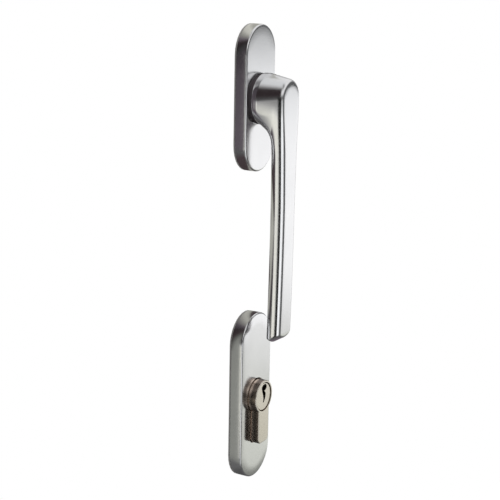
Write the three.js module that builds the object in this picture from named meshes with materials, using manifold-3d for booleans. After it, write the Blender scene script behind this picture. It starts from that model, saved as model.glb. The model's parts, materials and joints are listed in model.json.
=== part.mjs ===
// Tilt turn handle with a separate cylinder escutcheon.
// Millimetres. +Z up, the room is on the -Y side, the sash face is the plane Y = 0.
// The origin is where the spindle axis crosses the sash face.
import * as THREE from "three";
import { mergeVertices } from "three/addons/utils/BufferGeometryUtils.js";
import Module from "manifold-3d";

const wasm = await Module();
wasm.setup();

// ---------------------------------------------------------------- driving dimensions
const ROUND = 44; // sides of the large round pieces
const SMALL_ROUND = 16; // sides of screws and pins
const ARC = 8; // half the number of steps round an arc of an outline
const REACH = 80; // length of a cutter that runs past everything
const GASKET = 0.8; // thickness of both gaskets

const ROSETTE = { halfWidth: 13.9, halfHeight: 35.4, front: -6.7, edge: 0.75, wall: 1.2, z: 0 };
const ESCUTCHEON = { halfWidth: 14.5, halfHeight: 43.5, front: -7.4, edge: 0.75, wall: 1.2, z: -150.8 };

const SCREW_PITCH = 43; // standard distance between the two rosette screws
const LUG = { radius: 5, end: 8 };
const ROSETTE_BASE = { halfWidth: 12.3, halfHeight: 33.8, front: -5.2 };
const ROSETTE_SCREW = { radius: 2.4, headRadius: 4.6, top: -5.0, length: 38 };

const NECK = { radius: 12.5, back: -8.4, rim: -9.4, coneStart: -11.2, edge: 0.35, flareEnd: -26 };
const COVER_HOLE = 12.0; // radius of the rosette cover's hole
const BEARING = { bore: 9.1, seat: 10.6, collar: 11.8, back: -3.4, shoulder: -5.4, front: -8.25 };
const STUB = { radius: 9.0, journal: 7.0, groove: 6.2, shoulder: -3.55, end: -1.75 };
const CLIP = { front: -2.75, back: -2.2, outer: 8.2, inner: 6.3 };
const CHAMBER = { radius: 11.2, front: -2.9 };
const DETENT = { radius: 8.0, notchAt: 8.4, notch: 1.6, bump: 1.3, front: -1.65, back: -0.95 };

const SPINDLE = { side: 7, corner: 0.6, front: -16, end: 35, clearance: 0.1 };
const SPINDLE_PIN = { radius: 1.0, y: -6, halfLength: 8.4 };

// Grip: the outline seen from the room, and the profile seen from the side.
const HEAD = { halfWidth: 8.8, top: 10.5 };
const GRIP = { halfWidth: 7.5, fillet: 1.3, taperStart: -6, taperEnd: -50, tip: -117.4 };
const GRIP_FRONT = { y: -23.9, bow: 0.6, bowCentre: -50, bowReach: 60 };
const GRIP_BACK = { y: -14.7, round: 6.4, spare: 0.4, bow: 0.6 };
const NECK_UNDERSIDE = { halfWidth: 14, round: 16 };
const TIP = { arch: 3, slant: 0.6, deepest: 5.0, roundDepth: 4.7 };

const CYLINDER = { headRadius: 8.5, webHalf: 5, height: 33, front: -12, length: 45, z: -150.5, edge: 0.45 };
const PLUG = { radius: 6.45, bore: 6.5, flange: 7.35, recess: 7.5, flangeDepth: 1.6, tail: 5.4 };
const PLUG_FACE = { setBack: 0.4, chamfer: 0.5 };
const CAM = { slotStart: 18, slotEnd: 28, front: 19.1, back: 27.5, outer: 7.4, lobe: 14, lobeHalf: 3.4, rest: 30 };
const PLUG_CLIP = { front: 18.15, back: 18.8, outer: 6.9, inner: 5.0 };
const PINS = { first: -4, pitch: 4, count: 5, radius: 1.3, hole: 1.5, shear: 6.3 };

const ESCUTCHEON_BASE = { halfWidth: 12.9, halfHeight: 41.9, front: -4.2 };
const ESCUTCHEON_SCREW = { radius: 2.0, headRadius: 3.9, top: -4.0, length: 28, offset: 34 };

// ---------------------------------------------------------------- finishes
const finish = (color, roughness, metalness) => new THREE.MeshStandardMaterial({ color, roughness, metalness });
const satinSteel = finish(0xc9ccd2, 0.28, 1);
const darkPlastic = finish(0x2a282b, 0.5, 0);
const castZinc = finish(0x8f9194, 0.5, 1);
const greyRubber = finish(0xb9b7b2, 0.8, 0);
const plainSteel = finish(0x9fa3a8, 0.35, 1);
const nickel = finish(0xc3b8a4, 0.3, 1);
const brass = finish(0xb59a5a, 0.35, 1);

// ---------------------------------------------------------------- joining and cutting
// A closed three.js geometry as a solid.
function solid(geometry) {
  const bare = new THREE.BufferGeometry();
  const source = geometry.index ? geometry.toNonIndexed() : geometry;
  bare.setAttribute("position", source.getAttribute("position"));
  const merged = mergeVertices(bare, 1e-4);
  const vertProperties = merged.attributes.position.array;
  const triVerts = new Uint32Array(merged.index.array);
  const made = new wasm.Manifold(new wasm.Mesh({ numProp: 3, vertProperties, triVerts }));
  if (made.volume() > 0) return made;
  return new wasm.Manifold(new wasm.Mesh({ numProp: 3, vertProperties, triVerts: triVerts.reverse() }));
}

function geometryOf(manifold) {
  const mesh = manifold.getMesh();
  const stride = mesh.numProp;
  const positions = new Float32Array((mesh.vertProperties.length / stride) * 3);
  for (let i = 0; i < positions.length / 3; i++)
    for (let k = 0; k < 3; k++) positions[3 * i + k] = mesh.vertProperties[stride * i + k];
  const geometry = new THREE.BufferGeometry();
  geometry.setAttribute("position", new THREE.BufferAttribute(positions, 3));
  geometry.setIndex(new THREE.BufferAttribute(new Uint32Array(mesh.triVerts), 1));
  geometry.computeVertexNormals();
  return geometry;
}

const join = (...solids) => solids.reduce((sum, next) => sum.add(next));
const cut = (body, ...tools) => tools.reduce((rest, tool) => rest.subtract(tool), body);

const handle = new THREE.Group();

function addNode(name, shape, material) {
  const mesh = new THREE.Mesh(shape.isBufferGeometry ? shape : geometryOf(shape), material);
  mesh.name = name;
  handle.add(mesh);
}

// ---------------------------------------------------------------- basic shapes
// A flat outline in X and Z, made solid between two depths.
function slab(shape, back, front) {
  const geometry = new THREE.ExtrudeGeometry(shape, { depth: back - front, bevelEnabled: false, curveSegments: ARC });
  return solid(geometry.rotateX(Math.PI / 2).translate(0, back, 0));
}

// The same with a rounded front edge.
function softSlab(shape, back, front, edge) {
  const options = { depth: back - front, bevelThickness: edge, bevelSize: edge, bevelOffset: -edge, bevelSegments: 3 };
  const geometry = new THREE.ExtrudeGeometry(shape, { ...options, bevelEnabled: true, curveSegments: ARC });
  const full = solid(geometry.rotateX(Math.PI / 2).translate(0, back + edge, 0));
  return full.subtract(block(-REACH, back, -REACH * 4, REACH, back + REACH, REACH * 4));
}

function block(x0, y0, z0, x1, y1, z1) {
  const box = new THREE.BoxGeometry(x1 - x0, y1 - y0, z1 - z0);
  return solid(box.translate((x0 + x1) / 2, (y0 + y1) / 2, (z0 + z1) / 2));
}

// A rod along Y, at (x, z).
function rodY(radius, y0, y1, x = 0, z = 0, sides = SMALL_ROUND) {
  const rod = new THREE.CylinderGeometry(radius, radius, y1 - y0, sides);
  return solid(rod.translate(x, (y0 + y1) / 2, z));
}

// A rod along Z, at (x, y).
function rodZ(radius, z0, z1, x, y, sides = SMALL_ROUND) {
  const rod = new THREE.CylinderGeometry(radius, radius, z1 - z0, sides);
  return solid(rod.rotateX(Math.PI / 2).translate(x, y, (z0 + z1) / 2));
}

// A rod along X, at (y, z).
function rodX(radius, x0, x1, y, z, sides = SMALL_ROUND) {
  const rod = new THREE.CylinderGeometry(radius, radius, x1 - x0, sides);
  return solid(rod.rotateZ(Math.PI / 2).translate((x0 + x1) / 2, y, z));
}

// A turned piece about the Y axis. The profile is a closed list of [radius, y].
function turned(profile, sides = ROUND, x = 0, z = 0) {
  const points = profile.map(([radius, y]) => new THREE.Vector2(radius, y));
  if (profile[0][0] !== 0) points.push(points[0].clone());
  return solid(new THREE.LatheGeometry(points, sides).translate(x, 0, z));
}

function stadium(halfWidth, halfHeight, z) {
  const straight = halfHeight - halfWidth;
  const shape = new THREE.Shape();
  shape.moveTo(halfWidth, z - straight);
  shape.lineTo(halfWidth, z + straight);
  shape.absarc(0, z + straight, halfWidth, 0, Math.PI, false);
  shape.lineTo(-halfWidth, z - straight);
  shape.absarc(0, z - straight, halfWidth, Math.PI, 2 * Math.PI, false);
  return shape;
}

// The profile cylinder's outline: a round head on a web, grown all round by a clearance.
function cylinderOutline(clearance) {
  const radius = CYLINDER.headRadius + clearance;
  const half = CYLINDER.webHalf + clearance;
  const bottom = CYLINDER.z + CYLINDER.headRadius - CYLINDER.height - clearance;
  const corner = 2.5;
  const meet = Math.asin(half / radius);
  const shape = new THREE.Shape();
  shape.absarc(0, CYLINDER.z, radius, meet - Math.PI / 2, 1.5 * Math.PI - meet, false);
  shape.lineTo(-half, bottom + corner);
  shape.absarc(-half + corner, bottom + corner, corner, Math.PI, 1.5 * Math.PI, false);
  shape.absarc(half - corner, bottom + corner, corner, 1.5 * Math.PI, 2 * Math.PI, false);
  return shape;
}

// A square bar's outline, with its corners taken off.
function squareOutline(side, corner) {
  const half = side / 2;
  const inner = half - corner;
  const corners = [
    [half, -inner],
    [half, inner],
    [inner, half],
    [-inner, half],
    [-half, inner],
    [-half, -inner],
    [-inner, -half],
    [inner, -half],
  ];
  return new THREE.Shape(corners.map(([x, y]) => new THREE.Vector2(x, y)));
}

// ---------------------------------------------------------------- screws
// A countersunk screw along +Y with a cross recess, its head top at `top`.
function countersunkScrew({ radius, headRadius, top, length }, z) {
  const rim = 0.5;
  const neck = top + rim + (headRadius - radius);
  const end = top + length;
  const profile = [
    [0, end],
    [radius * 0.6, end - 0.4],
    [radius, end - 2.5],
    [radius, neck],
    [headRadius, top + rim],
    [headRadius, top],
    [0, top],
  ];
  const arm = headRadius * 0.6;
  const width = radius * 0.2;
  const recess = 1.3;
  const across = block(-arm, top - 1, z - width, arm, top + recess, z + width);
  const upright = block(-width, top - 1, z - arm, width, top + recess, z + arm);
  return cut(turned(profile, SMALL_ROUND, 0, z), across, upright);
}

// The hole that the same screw needs in a base.
function countersink({ radius, headRadius, top }, z, back) {
  const clearance = 0.2;
  const rim = 0.6;
  const profile = [
    [0, back + 1],
    [radius + clearance, back + 1],
    [radius + clearance, top + rim + (headRadius - radius)],
    [headRadius + clearance, top + rim],
    [headRadius + clearance, top - 3],
    [0, top - 3],
  ];
  return turned(profile, SMALL_ROUND + 4, 0, z);
}

// ---------------------------------------------------------------- plates shared by both fittings
// A cover: a shell with a soft front edge, open at the back.
function coverShell(plate) {
  const outside = softSlab(stadium(plate.halfWidth, plate.halfHeight, plate.z), -GASKET, plate.front, plate.edge);
  const room = stadium(plate.halfWidth - plate.wall, plate.halfHeight - plate.wall, plate.z);
  return cut(outside, slab(room, REACH, plate.front + plate.wall));
}

const screwHeights = [SCREW_PITCH / 2, -SCREW_PITCH / 2];
const escutcheonScrewHeights = [1, -1].map((way) => ESCUTCHEON.z + way * ESCUTCHEON_SCREW.offset);

// ---------------------------------------------------------------- upper rosette
function makeRosetteGasket() {
  const sheet = slab(stadium(ROSETTE.halfWidth, ROSETTE.halfHeight, 0), 0, -GASKET);
  const lugHoles = screwHeights.map((z) => rodY(LUG.radius + 0.1, -2, 2, 0, z, 24));
  return cut(sheet, rodY(CHAMBER.radius - 3, -2, 2, 0, 0, 24), ...lugHoles);
}

function makeRosetteBase() {
  const plate = slab(stadium(ROSETTE_BASE.halfWidth, ROSETTE_BASE.halfHeight, 0), -GASKET, ROSETTE_BASE.front);
  const lugs = screwHeights.map((z) => rodY(LUG.radius, -GASKET - 1, LUG.end, 0, z, 24));
  const bearingSeat = rodY(BEARING.seat + 0.1, ROSETTE_BASE.front - 1, BEARING.back, 0, 0, ROUND);
  const journalBore = rodY(STUB.journal + 0.1, -REACH, REACH, 0, 0, ROUND);
  const chamber = rodY(CHAMBER.radius, CHAMBER.front, 1, 0, 0, ROUND);
  const screwHoles = screwHeights.map((z) => countersink(ROSETTE_SCREW, z, LUG.end));
  return cut(join(plate, ...lugs), bearingSeat, journalBore, chamber, ...screwHoles);
}

function makeRosetteCover() {
  return cut(coverShell(ROSETTE), rodY(COVER_HOLE, -REACH, REACH, 0, 0, ROUND));
}

// The dark ring that the neck turns on. It fills the gap between the cover and the neck.
function makeBearingRing() {
  return turned([
    [BEARING.bore, BEARING.back],
    [BEARING.seat, BEARING.back],
    [BEARING.seat, BEARING.shoulder],
    [BEARING.collar, BEARING.shoulder],
    [BEARING.collar, BEARING.front],
    [BEARING.bore, BEARING.front],
  ]);
}

// A curved leaf with one bump that drops into the detent plate's notches.
function makeDetentSpring(side) {
  const outer = CHAMBER.radius - 0.2;
  const inner = outer - 0.6;
  const half = 0.7;
  const shape = new THREE.Shape();
  shape.absarc(0, 0, outer, -half, half, false);
  shape.absarc(0, 0, inner, half, -half, true);
  const leaf = slab(shape, DETENT.back, DETENT.front);
  const bump = rodY(DETENT.bump, DETENT.front, DETENT.back, DETENT.notchAt + 0.15, 0);
  const foot = block(DETENT.notchAt, DETENT.front, -0.8, inner + 0.2, DETENT.back, 0.8);
  const spring = join(leaf, bump, foot);
  return side > 0 ? spring : spring.rotate([0, 180, 0]);
}

// ---------------------------------------------------------------- lever
const smooth = (t) => {
  const k = Math.min(1, Math.max(0, t));
  return k * k * (3 - 2 * k);
};

// Evenly spaced values from a to b, both included.
const steps = (a, b, count) => Array.from({ length: count + 1 }, (_, i) => a + ((b - a) * i) / count);

// Half the width of the grip, with its filleted edges, at a height.
function gripHalfWidth(z) {
  const t = (GRIP.taperStart - z) / (GRIP.taperStart - GRIP.taperEnd);
  return THREE.MathUtils.lerp(HEAD.halfWidth, GRIP.halfWidth, THREE.MathUtils.clamp(t, 0, 1));
}

// How far the grip leans back towards the window at a height.
const bowAt = (z, bow) => bow * ((z - GRIP_FRONT.bowCentre) / GRIP_FRONT.bowReach) ** 2;

// The lever's outline from the room. `flare` goes from 0 at the grip's front to 1 at the neck's circle.
function leverOutline(inset, tip, flare) {
  const points = [];
  const headSteps = ROUND / 2;
  const tipSteps = 12;
  const headRadius = THREE.MathUtils.lerp(HEAD.halfWidth, NECK.radius, flare);
  const headCentre = (HEAD.top - HEAD.halfWidth) * (1 - flare);
  for (let i = 0; i <= headSteps; i++) {
    const angle = (Math.PI * i) / headSteps;
    const radius = headRadius - inset;
    points.push([radius * Math.cos(angle), headCentre + radius * Math.sin(angle)]);
  }
  const tipHalf = GRIP.halfWidth - inset;
  const tipHeight = TIP.arch - inset;
  const tipCentre = tip + TIP.arch;
  const heights = [...steps(-3, NECK.flareEnd, 9), ...steps(NECK.flareEnd, tipCentre, 9).slice(1, -1)];
  const halfAt = (z) => {
    const widening = (headRadius - HEAD.halfWidth) * (1 - smooth(z / NECK.flareEnd));
    return gripHalfWidth(z) + widening - inset;
  };
  for (const z of heights) points.push([-halfAt(z), z]);
  for (let i = 0; i <= tipSteps; i++) {
    const angle = Math.PI + (Math.PI * i) / tipSteps;
    points.push([tipHalf * Math.cos(angle), tipCentre + tipHeight * Math.sin(angle)]);
  }
  for (const z of heights.reverse()) points.push([halfAt(z), z]);
  return points;
}

// A closed skin through rings of equal length, with both ends capped.
function skin(rings) {
  const count = rings[0].length;
  const positions = [];
  const face = (a, b, c) => positions.push(...a, ...b, ...c);
  for (let r = 0; r + 1 < rings.length; r++)
    for (let i = 0; i < count; i++) {
      const j = (i + 1) % count;
      face(rings[r][i], rings[r + 1][i], rings[r + 1][j]);
      face(rings[r][i], rings[r + 1][j], rings[r][j]);
    }
  const centre = (ring) => [0, 1, 2].map((k) => ring.reduce((sum, p) => sum + p[k], 0) / count);
  const first = centre(rings[0]);
  const last = centre(rings[rings.length - 1]);
  for (let i = 0; i < count; i++) {
    const j = (i + 1) % count;
    face(first, rings[0][i], rings[0][j]);
    face(last, rings[rings.length - 1][j], rings[rings.length - 1][i]);
  }
  const geometry = new THREE.BufferGeometry();
  geometry.setAttribute("position", new THREE.Float32BufferAttribute(positions, 3));
  return geometry;
}

// How far down the tip reaches at a depth behind the front face.
function tipAt(depth) {
  const slanted = GRIP.tip - TIP.slant * (Math.min(depth, TIP.deepest) - GRIP.fillet);
  const past = Math.max(0, depth - TIP.deepest) / TIP.roundDepth;
  return slanted + TIP.roundDepth * (1 - Math.sqrt(Math.max(0, 1 - past * past)));
}

const frontAt = (z) => GRIP_FRONT.y + bowAt(z, GRIP_FRONT.bow);

// The grip and the neck as rings stacked from the flat front face back to the neck's rim.
function leverBar() {
  const fullDepth = NECK.coneStart - frontAt(0);
  const layers = [];
  const filletSteps = 4;
  for (let i = 0; i <= filletSteps; i++) {
    const angle = (Math.PI / 2) * (i / filletSteps);
    layers.push({ depth: GRIP.fillet * (1 - Math.cos(angle)), inset: GRIP.fillet * (1 - Math.sin(angle)) });
  }
  const roundSteps = 5;
  for (let i = 0; i <= roundSteps; i++) {
    const angle = (Math.PI / 2) * (i / roundSteps) * 0.97;
    layers.push({ depth: TIP.deepest + TIP.roundDepth * Math.sin(angle), inset: 0 });
  }
  layers.push({ depth: fullDepth, inset: 0 });
  const rings = layers.map(({ depth, inset }) => {
    const tip = depth > GRIP.fillet ? tipAt(depth) : GRIP.tip;
    const flare = Math.max(0, depth - GRIP.fillet) / (fullDepth - GRIP.fillet);
    const outline = leverOutline(inset, tip, flare);
    return outline.map(([x, z]) => [x, THREE.MathUtils.lerp(frontAt(z), NECK.coneStart, depth / fullDepth), z]);
  });
  rings.push(rings[rings.length - 1].map(([x, , z]) => [x, NECK.back - NECK.edge, z]));
  return rings;
}

// The path of the inner side, seen from the side: under the neck, round the bend, down the grip's back.
const innerPath = new THREE.CatmullRomCurve3(
  [
    [-7.6, -12.3],
    [-10.2, -13.6],
    [-12.6, -15.6],
    [-14.1, -18.6],
    [-14.6, -23],
    [GRIP_BACK.y, -32],
  ].map(([y, z]) => new THREE.Vector3(0, y, z)),
  false,
  "centripetal",
);

// Keeps what lies outside the inner path. Each section is a half ellipse with straight walls.
function innerSweep() {
  const sectionSteps = 14;
  const bendSteps = 16;
  const wallLength = 46;
  const stations = [];
  for (let i = 0; i <= bendSteps; i++) {
    const t = i / bendSteps;
    const point = innerPath.getPoint(t);
    const turn = smooth(t * 1.25) * (Math.PI / 2);
    const spread = smooth(t * 1.1);
    const gripHalf = gripHalfWidth(point.z) + GRIP_BACK.spare;
    stations.push({
      y: point.y,
      z: point.z,
      turn,
      half: NECK_UNDERSIDE.halfWidth + (gripHalf - NECK_UNDERSIDE.halfWidth) * spread,
      depth: NECK_UNDERSIDE.round + (GRIP_BACK.round - NECK_UNDERSIDE.round) * spread,
    });
  }
  for (const z of [-40, -50, -65, -80, -95, -110, -126]) {
    const y = GRIP_BACK.y + bowAt(Math.min(z, GRIP_FRONT.bowCentre), GRIP_BACK.bow);
    stations.push({ y, z, turn: Math.PI / 2, half: gripHalfWidth(z) + GRIP_BACK.spare, depth: GRIP_BACK.round });
  }
  const rings = stations.map(({ y, z, turn, half, depth }) => {
    const [outY, outZ] = [Math.sin(turn), -Math.cos(turn)];
    const ring = [];
    for (let k = 0; k <= sectionSteps; k++) {
      const angle = (Math.PI * k) / sectionSteps - Math.PI / 2;
      const back = depth * (1 - Math.cos(angle));
      ring.push([half * Math.sin(angle), y - outY * back, z - outZ * back]);
    }
    ring.push([half, y - outY * wallLength, z - outZ * wallLength]);
    ring.push([-half, y - outY * wallLength, z - outZ * wallLength]);
    return ring;
  });
  return skin(rings);
}

function makeLever() {
  const neck = turned([
    [0, NECK.back],
    [NECK.radius - NECK.edge, NECK.back],
    [NECK.radius, NECK.back - NECK.edge],
    [NECK.radius, NECK.rim],
    [0, NECK.rim],
  ]);
  const outside = join(neck, solid(skin(leverBar())));
  const shaped = outside.intersect(join(solid(innerSweep()), neck));
  const stub = turned([
    [0, NECK.back - 1],
    [STUB.radius, NECK.back - 1],
    [STUB.radius, STUB.shoulder],
    [STUB.journal, STUB.shoulder],
    [STUB.journal, CLIP.front - 0.05],
    [STUB.groove, CLIP.front - 0.05],
    [STUB.groove, CLIP.back + 0.05],
    [STUB.journal, CLIP.back + 0.05],
    [STUB.journal, STUB.end],
    [0, STUB.end],
  ]);
  const socketSide = SPINDLE.side + 2 * SPINDLE.clearance;
  const socket = slab(squareOutline(socketSide, 0.3), REACH, SPINDLE.front - 0.2);
  const pinHole = rodX(SPINDLE_PIN.radius + 0.1, -NECK.radius, NECK.radius, SPINDLE_PIN.y, 0);
  return cut(join(shaped, stub), socket, pinHole);
}

function makeSpindle() {
  const bar = slab(squareOutline(SPINDLE.side, SPINDLE.corner), SPINDLE.end, SPINDLE.front);
  return cut(bar, rodX(SPINDLE_PIN.radius + 0.1, -REACH, REACH, SPINDLE_PIN.y, 0));
}

function makeDetentPlate() {
  const plate = rodY(DETENT.radius, DETENT.front, DETENT.back, 0, 0, ROUND);
  const notches = [0, 1, 2, 3].map((quarter) => {
    const angle = (Math.PI / 2) * quarter;
    const [x, z] = [DETENT.notchAt * Math.cos(angle), DETENT.notchAt * Math.sin(angle)];
    return rodY(DETENT.notch, DETENT.front - 1, DETENT.back + 1, x, z);
  });
  const hole = slab(squareOutline(SPINDLE.side + 2 * SPINDLE.clearance, 0.3), 1, -4);
  return cut(plate, hole, ...notches);
}

// A spring clip: a ring with a mouth at the bottom.
function makeClip({ front, back, outer, inner }, z) {
  const mouth = 0.5;
  const from = mouth - Math.PI / 2;
  const to = 1.5 * Math.PI - mouth;
  const shape = new THREE.Shape();
  shape.absarc(0, z, outer, from, to, false);
  shape.absarc(0, z, inner, to, from, true);
  return slab(shape, back, front);
}

// ---------------------------------------------------------------- lower escutcheon
function makeEscutcheonGasket() {
  const sheet = slab(stadium(ESCUTCHEON.halfWidth, ESCUTCHEON.halfHeight, ESCUTCHEON.z), 0, -GASKET);
  const holes = escutcheonScrewHeights.map((z) => rodY(ESCUTCHEON_SCREW.radius + 0.2, -2, 2, 0, z));
  return cut(sheet, slab(cylinderOutline(0.4), REACH, -REACH), ...holes);
}

function makeEscutcheonBase() {
  const outline = stadium(ESCUTCHEON_BASE.halfWidth, ESCUTCHEON_BASE.halfHeight, ESCUTCHEON.z);
  const holes = escutcheonScrewHeights.map((z) => countersink(ESCUTCHEON_SCREW, z, 1));
  return cut(slab(outline, -GASKET, ESCUTCHEON_BASE.front), slab(cylinderOutline(0.4), REACH, -REACH), ...holes);
}

function makeEscutcheonCover() {
  return cut(coverShell(ESCUTCHEON), slab(cylinderOutline(0.3), REACH, -REACH));
}

// ---------------------------------------------------------------- profile cylinder
const pinDepths = Array.from({ length: PINS.count }, (_, i) => PINS.first + i * PINS.pitch);
const webBottom = CYLINDER.z + CYLINDER.headRadius - CYLINDER.height;
const cylinderBack = CYLINDER.front + CYLINDER.length;

function makeCylinderBody() {
  const body = softSlab(cylinderOutline(0), cylinderBack, CYLINDER.front, CYLINDER.edge);
  const bore = rodY(PLUG.bore, CYLINDER.front - 5, CAM.slotStart + 1, 0, CYLINDER.z, ROUND);
  const recess = rodY(PLUG.recess, CYLINDER.front - 5, CYLINDER.front + PLUG.flangeDepth, 0, CYLINDER.z, ROUND);
  const camRoom = CYLINDER.z - CAM.lobe - 0.8;
  const slot = block(-REACH, CAM.slotStart, camRoom, REACH, CAM.slotEnd, REACH);
  const chambers = pinDepths.map((y) => rodZ(PINS.hole, webBottom - 5, CYLINDER.z - 4, 0, y));
  const middle = (CAM.slotStart + CAM.slotEnd) / 2;
  const fixingHole = rodX(2.1, -REACH, REACH, middle, webBottom + 5);
  return cut(body, bore, recess, slot, fixingHole, ...chambers);
}

// The keyway's outline: a slot that steps from side to side below a round top.
function keywayOutline() {
  const right = [
    [0.6, -3.2],
    [2.0, -0.9],
    [2.3, 1.2],
    [0.5, 3.4],
    [1.6, 4.8],
  ];
  const left = [
    [-0.6, 4.8],
    [-1.6, 3.8],
    [-0.5, 1.0],
    [0.0, -1.2],
    [-0.4, -3.2],
  ];
  return new THREE.Shape([...right, ...left].map(([x, z]) => new THREE.Vector2(x, CYLINDER.z + z)));
}

function makePlug() {
  const { z } = CYLINDER;
  const front = CYLINDER.front + PLUG_FACE.setBack;
  const flangeBack = CYLINDER.front + PLUG.flangeDepth - 0.1;
  const outside = [
    [0, front],
    [PLUG.flange - PLUG_FACE.chamfer, front],
    [PLUG.flange, front + PLUG_FACE.chamfer],
    [PLUG.flange, flangeBack],
    [PLUG.radius, flangeBack],
    [PLUG.radius, CAM.slotStart - 0.1],
    [PLUG.tail, CAM.slotStart - 0.1],
    [PLUG.tail, PLUG_CLIP.front - 0.05],
    [PLUG_CLIP.inner - 0.1, PLUG_CLIP.front - 0.05],
    [PLUG_CLIP.inner - 0.1, PLUG_CLIP.back + 0.05],
    [PLUG.tail, PLUG_CLIP.back + 0.05],
    [PLUG.tail, CAM.back],
    [0, CAM.back],
  ];
  const keyEnd = CAM.slotStart - 3;
  const keyway = slab(keywayOutline(), keyEnd, front - 5);
  const roundTop = rodY(1.9, front - 5, keyEnd, 0.8, z + 4.75);
  const pinHoles = pinDepths.map((y) => rodZ(PINS.hole, z - 9, z - 2.8, 0, y));
  return cut(turned(outside, ROUND, 0, z), keyway, roundTop, ...pinHoles);
}

// The cam turns with the plug and throws the lock's bolt with its lobe.
function makeCam() {
  const ring = rodY(CAM.outer, CAM.front, CAM.back, 0, 0, 30);
  const lobe = block(-CAM.lobeHalf, CAM.front, -CAM.lobe + 1, CAM.lobeHalf, CAM.back, 0);
  const reach = rodY(CAM.lobe, CAM.front - 1, CAM.back + 1, 0, 0, 60);
  const bore = rodY(PLUG.tail + 0.1, -REACH, REACH, 0, 0, 30);
  const cam = cut(join(ring, lobe).intersect(reach), bore);
  return cam.rotate([0, CAM.rest, 0]).translate([0, 0, CYLINDER.z]);
}

const keyPinTop = CYLINDER.z - 3.4;
const driverTop = CYLINDER.z - PINS.shear - 0.4;
const driverBottom = driverTop - 4.4;
const capTop = webBottom + 2;

class SpringCurve extends THREE.Curve {
  constructor(y) {
    super();
    this.y = y;
  }
  getPoint(t, target = new THREE.Vector3()) {
    const turns = 5;
    const radius = 0.95;
    const clear = 0.35;
    const angle = 2 * Math.PI * turns * t;
    const height = driverBottom - clear + (capTop + clear - (driverBottom - clear)) * t;
    return target.set(radius * Math.cos(angle), this.y + radius * Math.sin(angle), height);
  }
}

function makePinSpring(y) {
  const wire = new THREE.Shape().absarc(0, 0, 0.22, 0, 2 * Math.PI, false);
  const options = { steps: 40, curveSegments: 2, extrudePath: new SpringCurve(y), bevelEnabled: false };
  return solid(new THREE.ExtrudeGeometry(wire, options));
}

// ---------------------------------------------------------------- the assembly
addNode("rosette_gasket", makeRosetteGasket(), greyRubber);
addNode("rosette_base", makeRosetteBase(), castZinc);
addNode("rosette_cover", makeRosetteCover(), satinSteel);
addNode("bearing_ring", makeBearingRing(), darkPlastic);
addNode("rosette_screw_upper", countersunkScrew(ROSETTE_SCREW, screwHeights[0]), plainSteel);
addNode("rosette_screw_lower", countersunkScrew(ROSETTE_SCREW, screwHeights[1]), plainSteel);
addNode("detent_spring_right", makeDetentSpring(1), plainSteel);
addNode("detent_spring_left", makeDetentSpring(-1), plainSteel);

addNode("lever", makeLever(), satinSteel);
addNode("spindle", makeSpindle(), plainSteel);
const { radius: pinRadius, y: pinY, halfLength: pinHalf } = SPINDLE_PIN;
addNode("spindle_pin", rodX(pinRadius, -pinHalf, pinHalf, pinY, 0), plainSteel);
addNode("detent_plate", makeDetentPlate(), plainSteel);
addNode("neck_clip", makeClip(CLIP, 0), plainSteel);

addNode("escutcheon_gasket", makeEscutcheonGasket(), greyRubber);
addNode("escutcheon_base", makeEscutcheonBase(), castZinc);
addNode("escutcheon_cover", makeEscutcheonCover(), satinSteel);
addNode("escutcheon_screw_upper", countersunkScrew(ESCUTCHEON_SCREW, escutcheonScrewHeights[0]), plainSteel);
addNode("escutcheon_screw_lower", countersunkScrew(ESCUTCHEON_SCREW, escutcheonScrewHeights[1]), plainSteel);

addNode("cylinder_body", makeCylinderBody(), nickel);
addNode("plug", makePlug(), nickel);
addNode("plug_clip", makeClip(PLUG_CLIP, CYLINDER.z), plainSteel);
addNode("cam", makeCam(), plainSteel);
pinDepths.forEach((y, i) => {
  const number = i + 1;
  addNode(`key_pin_${number}`, rodZ(PINS.radius, CYLINDER.z - PINS.shear + 0.1, keyPinTop, 0, y, 14), brass);
  addNode(`driver_pin_${number}`, rodZ(PINS.radius, driverBottom, driverTop, 0, y, 14), plainSteel);
  addNode(`pin_spring_${number}`, makePinSpring(y), plainSteel);
  addNode(`chamber_cap_${number}`, rodZ(PINS.hole - 0.05, webBottom + 0.3, capTop, 0, y, 14), brass);
});

export default handle;
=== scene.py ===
"""Looks of the tilt turn handle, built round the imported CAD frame. Metres, same frame as the CAD."""

import json
import math

import bmesh
import bpy
import numpy as np
from mathutils import Matrix, Vector


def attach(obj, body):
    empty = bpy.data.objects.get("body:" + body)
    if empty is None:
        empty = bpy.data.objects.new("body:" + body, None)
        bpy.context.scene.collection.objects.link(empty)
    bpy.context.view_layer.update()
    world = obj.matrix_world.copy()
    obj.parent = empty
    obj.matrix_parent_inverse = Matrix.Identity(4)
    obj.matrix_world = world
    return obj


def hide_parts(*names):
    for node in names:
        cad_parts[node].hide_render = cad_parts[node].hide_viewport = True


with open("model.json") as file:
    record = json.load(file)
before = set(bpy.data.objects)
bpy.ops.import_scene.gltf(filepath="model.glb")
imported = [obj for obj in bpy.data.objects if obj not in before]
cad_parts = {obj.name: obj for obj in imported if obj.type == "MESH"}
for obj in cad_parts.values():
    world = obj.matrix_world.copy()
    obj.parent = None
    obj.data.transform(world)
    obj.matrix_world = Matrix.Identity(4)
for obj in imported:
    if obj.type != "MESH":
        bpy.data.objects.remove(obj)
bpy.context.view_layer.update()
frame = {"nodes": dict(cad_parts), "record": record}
nodes = frame["nodes"]
scene = bpy.context.scene
MM = 0.001
MERGE = 2e-7  # metres between points that count as one

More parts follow.
